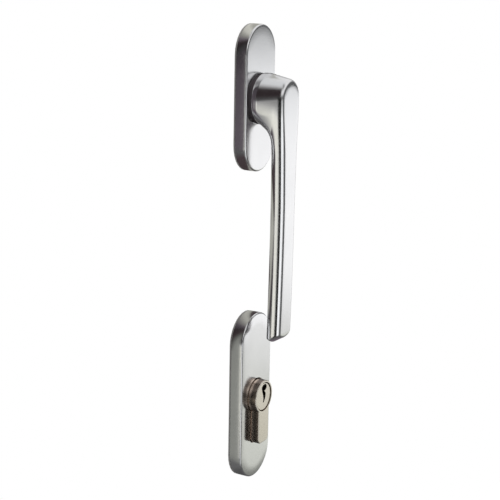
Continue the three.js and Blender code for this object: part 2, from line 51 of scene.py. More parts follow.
# ------------------------------------------------------------------ sizes, in millimetres
ARC = 48  # steps round half a circle
PAST = 5  # how far a cutter reaches past the end of what it cuts
ACROSS = 20  # how far a cutter reaches to the sides
SHARP = 30  # degrees between faces from which their edge is sharp
GASKET = 0.8
COVER = {"edge": 0.95, "wall": 1.2, "lip": 0.15, "corner": 0.4, "hole_edge": 0.25}
ROSETTE = {**COVER, "half": 13.9, "height": 35.4, "front": -6.7, "z": 0.0, "sag": 0.07}
ESCUTCHEON = {**COVER, "half": 14.5, "height": 43.5, "front": -7.4, "z": -150.8, "sag": 0.26}
PLATE_SAG = {"inset": 6.5, "power": 2.4, "steps": 9}
COVER_HOLE = {"neck": 12.0, "cylinder_gap": 0.3}
NECK = {"radius": 12.5, "back": -8.4, "rim": -9.4, "cone": -11.2, "flare_end": -26.0, "edge": 0.35}
HEAD = {"half": 8.8, "top": 10.5}
GRIP = {"half": 7.5, "fillet": 1.3, "taper_start": -6.0, "taper_end": -50.0, "tip": -117.4}
GRIP_FRONT = {"y": -23.9, "bow": 0.6, "centre": -50.0, "reach": 60.0}
GRIP_BACK = {"y": -14.7, "round": 6.4, "spare": 0.4, "bow": 0.6}
CROWN = {"curve": 0.17, "middle": 4.4, "neck_shift": 1.95, "reach": 2.5}
FRONT_ROLL = {"rise": 0.09, "width": 1.8}
UNDERSIDE = {"half": 14.0, "round": 16.0}
TIP = {"arch": 3.0, "slant": 0.6, "deepest": 5.0, "round": 4.7, "end": -119.55}
BEND = [(-9.4, -12.5), (-10.7, -13.8), (-12.6, -15.6), (-14.1, -18.6), (-14.6, -23.0), (-14.7, -32.0)]
BEND_PACE = {"width": 1.1, "turn": 1.25}
CORE = {"neck": 12.5, "grip": 4.0}
SECTIONS = {"bend": 120, "grip": 64, "grip_start": -33.0, "tip": 44, "tip_reach": 12.0}
TRACE = {"rays": 2048, "reach": 34.0, "halvings": 34, "crease": 0.4, "widest": 0.99999}
RING_POINTS = {"count": 192, "blur": 24, "bend_share": 1.3}
SOCKET = {"half": 3.6, "front": -16.2}
PIN_HOLE = {"radius": 1.1, "y": -6.0}
RING = {"bore": 9.1, "seat": 10.6, "collar": 11.8, "chamfer": 0.2}
RING.update({"back": -3.4, "shoulder": -5.4, "front": -8.25})
CYLINDER = {
    "head": 8.5,
    "web": 5.0,
    "height": 33.0,
    "corner": 2.5,
    "least_corner": 0.5,
    "edge": 0.45,
    "edge_steps": 4,
    "front": -12.0,
    "length": 45.0,
    "z": -150.5,
}
PLUG = {"radius": 6.45, "bore": 6.5, "flange": 7.35, "recess": 7.5, "depth": 1.6, "tail": 5.4, "gap": 0.1}
PLUG_FACE = {"set_back": 0.4, "chamfer": 0.5, "middle": 0.02, "bevel": 0.12}
KEYWAY = [
    (0.6, -3.2),
    (2.0, -0.9),
    (2.3, 1.2),
    (0.5, 3.4),
    (1.6, 4.8),
    (-0.6, 4.8),
    (-1.6, 3.8),
    (-0.5, 1.0),
    (0.0, -1.2),
    (-0.4, -3.2),
]
KEYWAY_TOP = {"half": 2.5, "rise": 1.75, "x": 0.7, "z": 4.6}
KEYWAY_DEPTH = 3.0  # from its end to the cam's slot
CAM = {"slot_start": 18.0, "slot_end": 28.0, "back": 27.5, "lobe": 14.0, "gap": 0.8}
CLIP_GROOVE = {"radius": 4.9, "front": 18.1, "back": 18.85}
FIXING_HOLE = {"radius": 2.1, "height": 5.0}
PINS = {"first": -4.0, "pitch": 4.0, "count": 5, "hole": 1.5}
PIN_HOLES = {"body_top": 4, "plug_bottom": 9, "plug_top": 2.8}
STUB_PROFILE = [
    (7.0, -1.75),
    (7.0, -2.15),
    (6.2, -2.15),
    (6.2, -2.8),
    (7.0, -2.8),
    (7.0, -3.55),
    (9.0, -3.55),
    (9.0, -8.4),
]


# ------------------------------------------------------------------ mesh helpers
def make_mesh(name, points, faces):
    """A closed mesh object from points in millimetres, with its faces turned outward."""
    mesh = bpy.data.meshes.new(name)
    mesh.from_pydata([tuple(float(c) * MM for c in p) for p in points], [], faces)
    piece = bpy.data.objects.new(name, mesh)
    scene.collection.objects.link(piece)
    bm = bmesh.new()
    bm.from_mesh(mesh)
    bmesh.ops.remove_doubles(bm, verts=bm.verts, dist=MERGE)
    bmesh.ops.recalc_face_normals(bm, faces=bm.faces)
    bm.to_mesh(mesh)
    bm.free()
    return piece


def stack(name, rings):
    """A closed piece through rings of equal length, with both ends capped."""
    count = len(rings[0])
    points = [p for ring in rings for p in ring]
    faces = []
    for r in range(len(rings) - 1):
        for i in range(count):
            j = (i + 1) % count
            faces.append((r * count + i, r * count + j, (r + 1) * count + j, (r + 1) * count + i))
    faces.append(tuple(range(count)))
    faces.append(tuple(range((len(rings) - 1) * count, len(rings) * count)))
    return make_mesh(name, points, faces)


def apply_modifiers(piece):
    graph = bpy.context.evaluated_depsgraph_get()
    made = bpy.data.meshes.new_from_object(piece.evaluated_get(graph))
    piece.modifiers.clear()
    piece.data = made


def carve(piece, cutters):
    """Cuts each cutter from the piece, then throws the cutters away."""
    for cutter in cutters:
        modifier = piece.modifiers.new("cut", "BOOLEAN")
        modifier.operation = "DIFFERENCE"
        modifier.solver = "EXACT"
        modifier.object = cutter
        bpy.context.view_layer.update()
        apply_modifiers(piece)
        bpy.data.objects.remove(cutter)


def turn_steps(sides):
    """The angles of a full turn in equal steps."""
    return np.linspace(0, 2 * math.pi, sides, endpoint=False)


def rod(radius, y0, y1, x=0.0, z=0.0, sides=96):
    """A rod along Y."""
    outline = [(x + radius * math.cos(a), z + radius * math.sin(a)) for a in turn_steps(sides)]
    return stack("rod", [at_depth(outline, y) for y in (y0, y1)])


def rod_z(radius, z0, z1, x, y, sides=32):
    """A rod along Z."""
    outline = [(x + radius * math.cos(a), y + radius * math.sin(a)) for a in turn_steps(sides)]
    return stack("rod", [[(px, py, z) for px, py in outline] for z in (z0, z1)])


def rod_x(radius, x0, x1, y, z, sides=32):
    """A rod along X."""
    outline = [(y + radius * math.cos(a), z + radius * math.sin(a)) for a in turn_steps(sides)]
    return stack("rod", [[(x, py, pz) for py, pz in outline] for x in (x0, x1)])


def block(x0, y0, z0, x1, y1, z1):
    return stack("block", [[(x0, y, z0), (x1, y, z0), (x1, y, z1), (x0, y, z1)] for y in (y0, y1)])


def turned(name, profile, sides=128):
    """A piece turned about the Y axis. The profile is a closed list of (radius, y)."""
    count = len(profile)
    points = [(r * math.cos(a), y, r * math.sin(a)) for a in turn_steps(sides) for r, y in profile]
    faces = []
    for i in range(sides):
        j = (i + 1) % sides
        for k in range(count):
            m = (k + 1) % count
            faces.append((i * count + k, i * count + m, j * count + m, j * count + k))
    return make_mesh(name, points, faces)


def finish_piece(piece, name, body, slot, replaced, bevel=0.0, flat=False):
    """Names the piece, gives it its finish, and makes it stand for a CAD node."""
    piece.name = name
    piece.data.name = name
    piece.data.materials.clear()
    piece.data.materials.append(BY_SLOT[slot])
    for face in piece.data.polygons:
        face.use_smooth = True
        face.material_index = 0
    piece.data.set_sharp_from_angle(angle=math.radians(SHARP))
    if bevel:
        add_bevel(piece, bevel)
    if flat:
        modifier = piece.modifiers.new("flat_faces", "WEIGHTED_NORMAL")
        modifier.keep_sharp = True
    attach(piece, body)
    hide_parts(replaced)
    return piece


def add_bevel(piece, width):
    modifier = piece.modifiers.new("bevel", "BEVEL")
    modifier.width = width * MM
    modifier.segments = 3
    modifier.limit_method = "ANGLE"
    modifier.angle_limit = math.radians(SHARP)
    modifier.harden_normals = True


# ------------------------------------------------------------------ outlines, in X and Z
def stadium(plate, inset=0.0):
    """A plate's outline with two round ends, moved inward by the inset."""
    radius = plate["half"] - inset
    straight = plate["height"] - plate["half"]
    points = []
    for top, start in ((1, 0.0), (-1, math.pi)):
        for i in range(ARC + 1):
            angle = start + math.pi * i / ARC
            points.append((radius * math.cos(angle), plate["z"] + top * straight + radius * math.sin(angle)))
    return points


def circle(radius, z=0.0, sides=128):
    """A round outline."""
    return [(radius * math.cos(a), z + radius * math.sin(a)) for a in turn_steps(sides)]


def cylinder_outline(clearance, corner_steps=10):
    """The profile cylinder's outline, grown by the clearance."""
    radius, half = CYLINDER["head"] + clearance, CYLINDER["web"] + clearance
    bottom = CYLINDER["z"] + CYLINDER["head"] - CYLINDER["height"] - clearance
    corner = max(CYLINDER["corner"] + clearance, CYLINDER["least_corner"])
    meet = math.asin(half / radius)
    points = []
    for a in np.linspace(meet - math.pi / 2, 1.5 * math.pi - meet, 2 * ARC):
        points.append((radius * math.cos(a), CYLINDER["z"] + radius * math.sin(a)))
    for side, start in ((-1, math.pi), (1, 1.5 * math.pi)):
        for a in np.linspace(start, start + math.pi / 2, corner_steps):
            x = side * (half - corner) + corner * math.cos(a)
            points.append((x, bottom + corner + corner * math.sin(a)))
    return points


def at_depth(outline, y):
    return [(x, y, z) for x, z in outline]


def edge_steps(edge, count=6):
    """(depth, inset) pairs round a quarter circle, from the front face to the side."""
    for i in range(count + 1):
        angle = math.pi / 2 * i / count
        yield edge * (1 - math.cos(angle)), edge * (1 - math.sin(angle))


def cover_shell(plate, hole):
    """A slightly crowned cover with a soft front edge, an open back and one hole. `hole(grow)` gives its
    outline."""
    front, wall, edge = plate["front"], plate["wall"], plate["edge"]
    lip, corner, soft = plate["lip"], plate["corner"], plate["hole_edge"]
    sag, flat = plate["sag"], PLATE_SAG["inset"]
    inside = front + wall
    rings = []
    for t in np.linspace(0, 1, PLATE_SAG["steps"], endpoint=False):
        outline = stadium(plate, flat + (edge - flat) * t)
        rings.append(at_depth(outline, front + sag * t ** PLATE_SAG["power"]))
    for depth, inset in edge_steps(edge):
        rings.append(at_depth(stadium(plate, inset), front + sag + depth * (1 - sag / edge)))
    for inset, y in (
        (0.0, -GASKET - lip),
        (lip, -GASKET),
        (wall - lip, -GASKET),
        (wall, -GASKET - lip),
        (wall, inside + corner),
        (wall + corner, inside),
    ):
        rings.append(at_depth(stadium(plate, inset), y))
    shell = stack("shell", rings)
    mouth = [
        at_depth(hole(soft + 1), front - 1),
        at_depth(hole(0.0), front + soft),
        at_depth(hole(0.0), inside + 1),
    ]
    carve(shell, [stack("mouth", mouth)])
    return shell


# ------------------------------------------------------------------ the lever's surface
def smooth(t):
    t = np.clip(t, 0, 1)
    return t * t * (3 - 2 * t)


def bow_at(z, bow):
    return bow * ((z - GRIP_FRONT["centre"]) / GRIP_FRONT["reach"]) ** 2


def grip_half(z):
    t = np.clip((GRIP["taper_start"] - z) / (GRIP["taper_start"] - GRIP["taper_end"]), 0, 1)
    return HEAD["half"] + (GRIP["half"] - HEAD["half"]) * t


def soft_max(a, b, width):
    h = np.maximum(width - np.abs(a - b), 0)
    return np.maximum(a, b) + h * h / (4 * width)


def oval(x, z, across, upward):
    """Nearly the distance from an oval's edge, below zero inside it."""
    near = np.hypot(x / across, z / upward)
    slope = np.hypot(x / across**2, z / upward**2) + 1e-9
    return near * (near - 1) / slope


def lever_field(p):
    """Below zero inside the grip and neck, before the underside is cut away. Points in millimetres."""
    x, y, z = np.abs(p[..., 0]), p[..., 1], p[..., 2]
    front = GRIP_FRONT["y"] + bow_at(z, GRIP_FRONT["bow"])
    full = NECK["cone"] - (GRIP_FRONT["y"] + bow_at(0.0, GRIP_FRONT["bow"]))
    depth = np.minimum((y - front) / (NECK["cone"] - front) * full, full)
    flare = np.clip((depth - GRIP["fillet"]) / (full - GRIP["fillet"]), 0, 1)
    radius = HEAD["half"] + (NECK["radius"] - HEAD["half"]) * flare
    centre = (HEAD["top"] - HEAD["half"]) * (1 - flare)
    neck_share = 1 - smooth(z / NECK["flare_end"])
    aside = np.minimum(depth - CROWN["middle"] + CROWN["neck_shift"] * neck_share, CROWN["reach"])
    crown = CROWN["curve"] / 2 * aside * aside * np.where(aside > 0, 1 - neck_share, 1)
    half = grip_half(z) + (radius - HEAD["half"]) * neck_share - crown
    past = np.clip((depth - TIP["deepest"]) / TIP["round"], 0, 1)
    tip = GRIP["tip"] - TIP["slant"] * (np.clip(depth, GRIP["fillet"], TIP["deepest"]) - GRIP["fillet"])
    tip = tip + TIP["round"] * (1 - np.sqrt(np.maximum(0, 1 - past * past)))
    tip_centre = tip + TIP["arch"]
    head = np.hypot(x, z - centre) - radius + crown
    tail = oval(x, z - tip_centre, GRIP["half"] - crown, TIP["arch"])
    outline = np.where(z > centre, head, np.where(z < tip_centre, tail, x - half))
    fillet = GRIP["fillet"]
    across = outline + fillet
    roll = FRONT_ROLL["rise"] * np.clip(across / FRONT_ROLL["width"] + 1, 0, 2) ** 2
    behind = fillet - depth + roll
    corner = np.hypot(np.maximum(across, 0), np.maximum(behind, 0))
    return np.minimum(np.maximum(across, behind), 0) + corner - fillet


def bend_path(samples):
    """The inner path as a smooth curve through the bend's points."""
    pts = [np.array(p, float) for p in BEND]
    pts = [2 * pts[0] - pts[1], *pts, 2 * pts[-1] - pts[-2]]
    spans = len(BEND) - 1
    made = []
    for t in samples:
        s = min(int(t * spans), spans - 1)
        u = t * spans - s
        p0, p1, p2, p3 = pts[s : s + 4]
        k = [np.linalg.norm(q - p) ** 0.5 for p, q in ((p0, p1), (p1, p2), (p2, p3))]
        m1 = ((p1 - p0) / k[0] - (p2 - p0) / (k[0] + k[1]) + (p2 - p1) / k[1]) * k[1]
        m2 = ((p2 - p1) / k[1] - (p3 - p1) / (k[1] + k[2]) + (p3 - p2) / k[2]) * k[1]
        a = 2 * (p1 - p2) + m1 + m2
        b = -3 * (p1 - p2) - 2 * m1 - m2
        made.append(a * u**3 + b * u * u + m1 * u + p1)
    return made


def lever_sections():
    """(y, z, turn, half width, depth, centre height) of section planes from the neck's rim to the tip."""
    rows = []
    bend = np.linspace(0, 1, SECTIONS["bend"])
    for t, (y, z) in zip(bend, bend_path(bend)):
        spread = float(smooth(t * BEND_PACE["width"]))
        turned_by = float(smooth(t * BEND_PACE["turn"]))
        half = UNDERSIDE["half"] + (grip_half(z) + GRIP_BACK["spare"] - UNDERSIDE["half"]) * spread
        depth = UNDERSIDE["round"] + (GRIP_BACK["round"] - UNDERSIDE["round"]) * spread
        core = CORE["neck"] + (CORE["grip"] - CORE["neck"]) * turned_by
        rows.append((y, z, turned_by * math.pi / 2, half, depth, core))
    reach, steps = SECTIONS["tip_reach"], SECTIONS["tip"]
    closing = [TIP["end"] + reach * (1 - math.sin(math.pi / 2 * k / steps)) for k in range(1, steps + 1)]
    for z in [*np.linspace(SECTIONS["grip_start"], TIP["end"] + reach, SECTIONS["grip"]), *closing]:
        y = GRIP_BACK["y"] + bow_at(min(z, GRIP_FRONT["centre"]), GRIP_BACK["bow"])
        rows.append((y, z, math.pi / 2, grip_half(z) + GRIP_BACK["spare"], GRIP_BACK["round"], CORE["grip"]))
    return rows


def spaced(ring):
    """The ring again with its points closer together where it turns."""
    step = np.roll(ring, -1, 0) - ring
    length = np.linalg.norm(step, axis=1) + 1e-9
    heading = step / length[:, None]
    turning = np.arccos(np.clip((heading * np.roll(heading, 1, 0)).sum(1), -1, 1))
    blur = RING_POINTS["blur"]
    padded = np.concatenate([turning[-blur:], turning, turning[:blur]])
    turning = np.convolve(padded, np.ones(2 * blur + 1), "valid")
    weight = length / length.sum() + RING_POINTS["bend_share"] * turning / turning.sum()
    walk = np.concatenate([[0], np.cumsum(weight)])
    wanted = np.linspace(0, walk[-1], RING_POINTS["count"], endpoint=False)
    closed = np.concatenate([ring, ring[:1]])
    return np.stack([np.interp(wanted, walk, closed[:, k]) for k in range(3)], -1)


def lever_rings():
    """Rings of points round each section, found by halving along rays from its centre."""
    angles = turn_steps(TRACE["rays"])
    made = []
    for y, z, turn, half, depth, core in lever_sections():
        up = (-math.sin(turn), math.cos(turn))

        def place(reach):
            s = core - reach * np.cos(angles)
            return np.stack([reach * np.sin(angles), y + up[0] * s, z + up[1] * s], -1), s

        low, high = np.zeros(TRACE["rays"]), np.full(TRACE["rays"], TRACE["reach"])
        for _ in range(TRACE["halvings"]):
            middle = (low + high) / 2
            p, s = place(middle)
            ratio = np.minimum(np.abs(p[:, 0]) / half, TRACE["widest"])
            rest = np.sqrt(1 - ratio * ratio)
            slope = depth / half * ratio / rest
            cut = (depth * (1 - rest) - s) / np.sqrt(1 + slope * slope)
            inside = soft_max(lever_field(p), cut, TRACE["crease"]) < 0
            low, high = np.where(inside, middle, low), np.where(inside, high, middle)
        ring, _ = place(low)
        made.append(spaced(ring))
    return made


def make_lever(edge_count=4, rim_gap=0.05):
    """The lever in one surface: the stub behind the neck, the neck's rim, the bend, the grip and its tip."""
    sections = lever_rings()
    first = sections[0]
    angle = np.arctan2(first[:, 0], -first[:, 2])
    radius, edge = NECK["radius"], NECK["edge"]
    profile = [*STUB_PROFILE, (radius - edge, NECK["back"])]
    for k in range(1, edge_count + 1):
        turn = math.pi / 2 * k / edge_count
        step = (1 - math.cos(turn)) * edge
        profile.append((radius - edge * (1 - math.sin(turn)), NECK["back"] - step))
    profile.append((radius, NECK["rim"] + rim_gap))
    rings = []
    for r, y in profile:
        rings.append(np.stack([r * np.sin(angle), np.full_like(angle, y), -r * np.cos(angle)], -1))
    lever = stack("lever_grip", rings + sections)
    half = SOCKET["half"]
    carve(lever, [block(-half, SOCKET["front"], -half, half, PAST, half)])
    carve(lever, [rod_x(PIN_HOLE["radius"], -radius, radius, PIN_HOLE["y"], 0)])
    return lever


# ------------------------------------------------------------------ profile cylinder
def pin_holes(low, high):
    """Cutters for the row of pin holes between two heights."""
    places = [PINS["first"] + i * PINS["pitch"] for i in range(PINS["count"])]
    return [rod_z(PINS["hole"], low, high, 0, y) for y in places]


def make_cylinder_body():
    """The profile cylinder's body with the plug's bore, the cam's slot and the pin holes."""
    front, z = CYLINDER["front"], CYLINDER["z"]
    back = front + CYLINDER["length"]
    steps = list(edge_steps(CYLINDER["edge"], CYLINDER["edge_steps"]))
    rings = [at_depth(cylinder_outline(-inset), front + depth) for depth, inset in steps]
    rings += [at_depth(cylinder_outline(-inset), back - depth) for depth, inset in reversed(steps)]
    body = stack("cylinder", rings)
    bottom = z + CYLINDER["head"] - CYLINDER["height"]
    middle = (CAM["slot_start"] + CAM["slot_end"]) / 2
    slot_bottom = z - CAM["lobe"] - CAM["gap"]
    cutters = [
        rod(PLUG["bore"], front - PAST, CAM["slot_start"] + 1, 0, z),
        rod(PLUG["recess"], front - PAST, front + PLUG["depth"], 0, z),
        block(-ACROSS, CAM["slot_start"], slot_bottom, ACROSS, CAM["slot_end"], z + ACROSS),
        rod_x(FIXING_HOLE["radius"], -ACROSS, ACROSS, middle, bottom + FIXING_HOLE["height"]),
    ]
    carve(body, cutters + pin_holes(bottom - PAST, z - PIN_HOLES["body_top"]))
    return body


def make_plug():
    """The plug with its flange, the groove for the clip, the keyway and the pin holes."""
    z = CYLINDER["z"]
    front = CYLINDER["front"] + PLUG_FACE["set_back"]
    flange, chamfer, middle = PLUG["flange"], PLUG_FACE["chamfer"], PLUG_FACE["middle"]
    flange_back = CYLINDER["front"] + PLUG["depth"] - PLUG["gap"]
    core_back = CAM["slot_start"] - PLUG["gap"]
    profile = [
        (middle, front),
        (flange - chamfer, front),
        (flange, front + chamfer),
        (flange, flange_back),
        (PLUG["radius"], flange_back),
        (PLUG["radius"], core_back),
        (PLUG["tail"], core_back),
        (PLUG["tail"], CLIP_GROOVE["front"]),
        (CLIP_GROOVE["radius"], CLIP_GROOVE["front"]),
        (CLIP_GROOVE["radius"], CLIP_GROOVE["back"]),
        (PLUG["tail"], CLIP_GROOVE["back"]),
        (PLUG["tail"], CAM["back"]),
        (middle, CAM["back"]),
    ]
    plug = stack("plug_core", [at_depth(circle(r, z), y) for r, y in profile])
    across, rise = KEYWAY_TOP["half"], KEYWAY_TOP["rise"]
    top_x, top_z = KEYWAY_TOP["x"], z + KEYWAY_TOP["z"]
    slot = [(x, z + h) for x, h in KEYWAY]
    oval_top = [(top_x + x * across, top_z + y * rise) for x, y in circle(1.0)]
    key_end = CAM["slot_start"] - KEYWAY_DEPTH
    cutters = []
    for name, outline in (("keyway", slot), ("keyway_top", oval_top)):
        cutters.append(stack(name, [at_depth(outline, front - PAST), at_depth(outline, key_end)]))
    carve(plug, cutters + pin_holes(z - PIN_HOLES["plug_bottom"], z - PIN_HOLES["plug_top"]))
    return plug


# ------------------------------------------------------------------ shader nodes
def bare_material(name):
    """A material with an empty node tree."""
    made = bpy.data.materials.new(name)
    made.use_nodes = True
    made.node_tree.nodes.clear()
    return made, made.node_tree


def math_node(tree, operation, *values):
    """A Math node's result on numbers and sockets."""
    node = tree.nodes.new("ShaderNodeMath")
    node.operation = operation
    for socket, value in zip(node.inputs, values):
        if isinstance(value, (int, float)):
            socket.default_value = value
        else:
            tree.links.new(value, socket)
    return node.outputs["Value"]


def map_range(tree, value, start, end, low=0.0, high=1.0, curve="LINEAR"):
    """The value carried from start..end to low..high, and held there outside it."""
    node = tree.nodes.new("ShaderNodeMapRange")
    node.interpolation_type = curve
    tree.links.new(value, node.inputs["Value"])
    for label, number in zip(("From Min", "From Max", "To Min", "To Max"), (start, end, low, high)):
        node.inputs[label].default_value = number
    return node.outputs["Result"]


def soft_step(tree, value, start, end):
    """Zero at the start, one at the end, with a smooth curve between."""
    return map_range(tree, value, start, end, curve="SMOOTHSTEP")


def axes(tree, vector):
    """The X, Y and Z of a vector, as sockets."""
    node = tree.nodes.new("ShaderNodeSeparateXYZ")
    tree.links.new(vector, node.inputs["Vector"])
    return node.outputs


def noise(tree, vector, scale, detail):
    node = tree.nodes.new("ShaderNodeTexNoise")
    node.inputs["Scale"].default_value = scale
    node.inputs["Detail"].default_value = detail
    tree.links.new(vector, node.inputs["Vector"])
    return node.outputs["Fac"]


def mix_colours(tree, mask, under, over):
    """The colour under, with over laid on it where the mask is one. Over is a socket or a colour."""
    layer = tree.nodes.new("ShaderNodeMix")
    layer.data_type = "RGBA"
    first, second = [socket for socket in layer.inputs if socket.type == "RGBA"]
    tree.links.new(mask, layer.inputs["Factor"])
    tree.links.new(under, first)
    if isinstance(over, tuple):
        second.default_value = over
    else:
        tree.links.new(over, second)
    return next(socket for socket in layer.outputs if socket.type == "RGBA")


def tinted(level, tint):
    return (level * tint[0], level * tint[1], level * tint[2], 1)


def shades(tree, value, stops):
    """Colour by a value, from a list of (value, brightness, tint)."""
    low, high = stops[0][0], stops[-1][0]
    node = tree.nodes.new("ShaderNodeValToRGB")
    elements = node.color_ramp.elements
    while len(elements) > 1:
        elements.remove(elements[0])
    elements[0].position = 0.0
    for place, _, _ in stops[1:]:
        elements.new((place - low) / (high - low))
    for element, (_, level, tint) in zip(elements, stops):
        element.color = tinted(level, tint)
    tree.links.new(map_range(tree, value, low, high), node.inputs["Fac"])
    return node.outputs["Color"]


# ------------------------------------------------------------------ materials
RELIEF = 0.0002
CLOUD_SCALE = 55.0
CLOUD_DETAIL, GRAIN_DETAIL = 4, 3
CLOUD_SPAN = (0.3, 0.7)
ROUGHNESS_SPAN = (0.6, 1.4)
CAST = {"grain": 700, "vary": 0.1, "bump": 0.3}
# metallic, roughness, the two colours it clouds between, and what isn't usual in its grain
FINISHES = {
    "satin_metal": (1.0, 0.19, (0.74, 0.74, 0.75), (0.80, 0.80, 0.81), {"vary": 0.03, "bump": 0.03}),
    "nickel": (1.0, 0.25, (0.72, 0.665, 0.59), (0.80, 0.745, 0.665), {"bump": 0.05}),
    "dark_plastic": (0.0, 0.5, (0.035, 0.028, 0.032), (0.05, 0.042, 0.046), {"bump": 0.25}),
    "gasket_rubber": (0.0, 0.75, (0.15, 0.145, 0.14), (0.20, 0.195, 0.19), {"bump": 0.3}),
    "cast_zinc": (1.0, 0.45, (0.42, 0.43, 0.44), (0.55, 0.56, 0.57), CAST),
    "plain_steel": (1.0, 0.32, (0.50, 0.50, 0.52), (0.62, 0.62, 0.64), {"vary": 0.08, "bump": 0.08}),
    "brass": (1.0, 0.3, (0.66, 0.50, 0.24), (0.76, 0.60, 0.31), {"vary": 0.08, "bump": 0.08}),
}


def material(name, metallic, roughness, dark, light, grain=1400.0, vary=0.05, bump=0.02):
    """A procedural finish: cloudy colour and roughness, and a fine grain in roughness and bump."""
    made, tree = bare_material(name)
    shader = tree.nodes.new("ShaderNodeBsdfPrincipled")
    out = tree.nodes.new("ShaderNodeOutputMaterial")
    tree.links.new(shader.outputs["BSDF"], out.inputs["Surface"])
    place = tree.nodes.new("ShaderNodeTexCoord").outputs["Object"]
    clouds = noise(tree, place, CLOUD_SCALE, CLOUD_DETAIL)
    grains = noise(tree, place, grain, GRAIN_DETAIL)
    ramp = tree.nodes.new("ShaderNodeValToRGB")
    for element, position, colour in zip(ramp.color_ramp.elements, CLOUD_SPAN, (dark, light)):
        element.position = position
        element.color = (*colour, 1)
    tree.links.new(clouds, ramp.inputs["Fac"])
    tree.links.new(ramp.outputs["Color"], shader.inputs["Base Color"])
    both = math_node(tree, "ADD", clouds, grains)
    rough = map_range(tree, both, *ROUGHNESS_SPAN, roughness - vary, roughness + vary)
    tree.links.new(rough, shader.inputs["Roughness"])
    relief = tree.nodes.new("ShaderNodeBump")
    relief.inputs["Strength"].default_value = bump
    relief.inputs["Distance"].default_value = RELIEF
    tree.links.new(grains, relief.inputs["Height"])
    tree.links.new(relief.outputs["Normal"], shader.inputs["Normal"])
    shader.inputs["Metallic"].default_value = metallic
    return made


# painted shade, painted reflections and a painted highlight streak, as brown bands along the cylinder's side
# faces, with painted shade in its holes:
# how far a face has turned from the front, in its normal's Y, where the bands start in holes and end at the
# back, and how much they waver, in millimetres
SIDE = {"front": -0.6, "side": -0.25, "hole": 2.0, "deep": 3.0, "end": 2.0, "waver": 0.5, "scale": 260}
SHADE_BROWN = (1.0, 0.82, 0.69)
# (depth in millimetres, brightness) of the painted bands: painted shade, with a painted highlight streak
# from -8.75 to -8.0
SIDE_SHADES = [
    (-12.4, 0.50),
    (-12.0, 0.42),
    (-11.5, 0.30),
    (-11.0, 0.25),
    (-10.0, 0.22),
    (-9.2, 0.26),
    (-8.75, 0.55),
    (-8.45, 0.80),
    (-8.0, 0.80),
    (-7.7, 0.42),
    (-7.3, 0.26),
    (-6.0, 0.16),
    (6.0, 0.12),
]


def paint_side_shade(made):
    """Painted shade and painted reflections as browner bands on side faces, with a painted highlight streak,
    and painted shade in holes, in wavering rings.
    """
    tree = made.node_tree
    shader = tree.nodes["Principled BSDF"]
    plain_colour = shader.inputs["Base Color"].links[0].from_socket
    first, last = SIDE_SHADES[0][0], SIDE_SHADES[-1][0]
    place = tree.nodes.new("ShaderNodeTexCoord").outputs
    depth = axes(tree, place["Object"])["Y"]
    side = soft_step(tree, axes(tree, place["Normal"])["Y"], SIDE["front"], SIDE["side"])
    near = map_range(tree, depth, last * MM, (last - SIDE["end"]) * MM)
    inside = map_range(tree, depth, (first + SIDE["hole"]) * MM, (first + SIDE["deep"]) * MM)
    # where the painted bands go: side faces near the front, and front-facing faces deep in holes as painted
    # shade
    mask = tree.nodes.new("ShaderNodeMix")
    for label, socket in (("Factor", side), ("A", inside), ("B", near)):
        tree.links.new(socket, mask.inputs[label])
    waver = noise(tree, place["Object"], SIDE["scale"], GRAIN_DETAIL)
    shifted = math_node(tree, "MULTIPLY_ADD", waver, SIDE["waver"] * MM, depth)
    # bands of painted shade and painted reflections by depth, with a painted highlight streak where the
    # brightness rises
    stops = [((y + SIDE["waver"] / 2) * MM, level, SHADE_BROWN) for y, level in SIDE_SHADES]
    rings = shades(tree, shifted, stops)
    mixed = mix_colours(tree, mask.outputs["Result"], plain_colour, rings)
    tree.links.new(mixed, shader.inputs["Base Color"])


BY_SLOT = {name: material(name, *look, **grain) for name, (*look, grain) in FINISHES.items()}
# painted shade, reflections and a highlight streak on the nickel's side faces, and painted shade in its
# holes
paint_side_shade(BY_SLOT["nickel"])

# ------------------------------------------------------------------ pieces
finish_piece(make_lever(), "lever_body", "lever", "satin_metal", "lever")
rosette = cover_shell(ROSETTE, lambda grow: circle(COVER_HOLE["neck"] + grow))
finish_piece(rosette, "rosette_shell", "rosette_cover", "satin_metal", "rosette_cover")
escutcheon = cover_shell(ESCUTCHEON, lambda grow: cylinder_outline(COVER_HOLE["cylinder_gap"] + grow))
finish_piece(escutcheon, "escutcheon_shell", "escutcheon_cover", "satin_metal", "escutcheon_cover")
ring_profile = [
    (RING["bore"], RING["back"]),
    (RING["seat"], RING["back"]),
    (RING["seat"], RING["shoulder"]),
    (RING["collar"], RING["shoulder"]),
    (RING["collar"], RING["front"] + RING["chamfer"]),
    (RING["collar"] - RING["chamfer"], RING["front"]),
    (RING["bore"], RING["front"]),
]
finish_piece(turned("ring", ring_profile), "bearing_collar", "mounting", "dark_plastic", "bearing_ring")
finish_piece(make_cylinder_body(), "cylinder_case", "mounting", "nickel", "cylinder_body", flat=True)
finish_piece(make_plug(), "cylinder_plug", "plug", "nickel", "plug", bevel=PLUG_FACE["bevel"])

slot_of = {row["node"]: row["material_slot"] for row in frame["record"]["subparts"]}
for name, node in nodes.items():
    if node.hide_render:
        continue
    for k in range(len(node.material_slots)):
        node.material_slots[k].material = BY_SLOT[slot_of[name]]

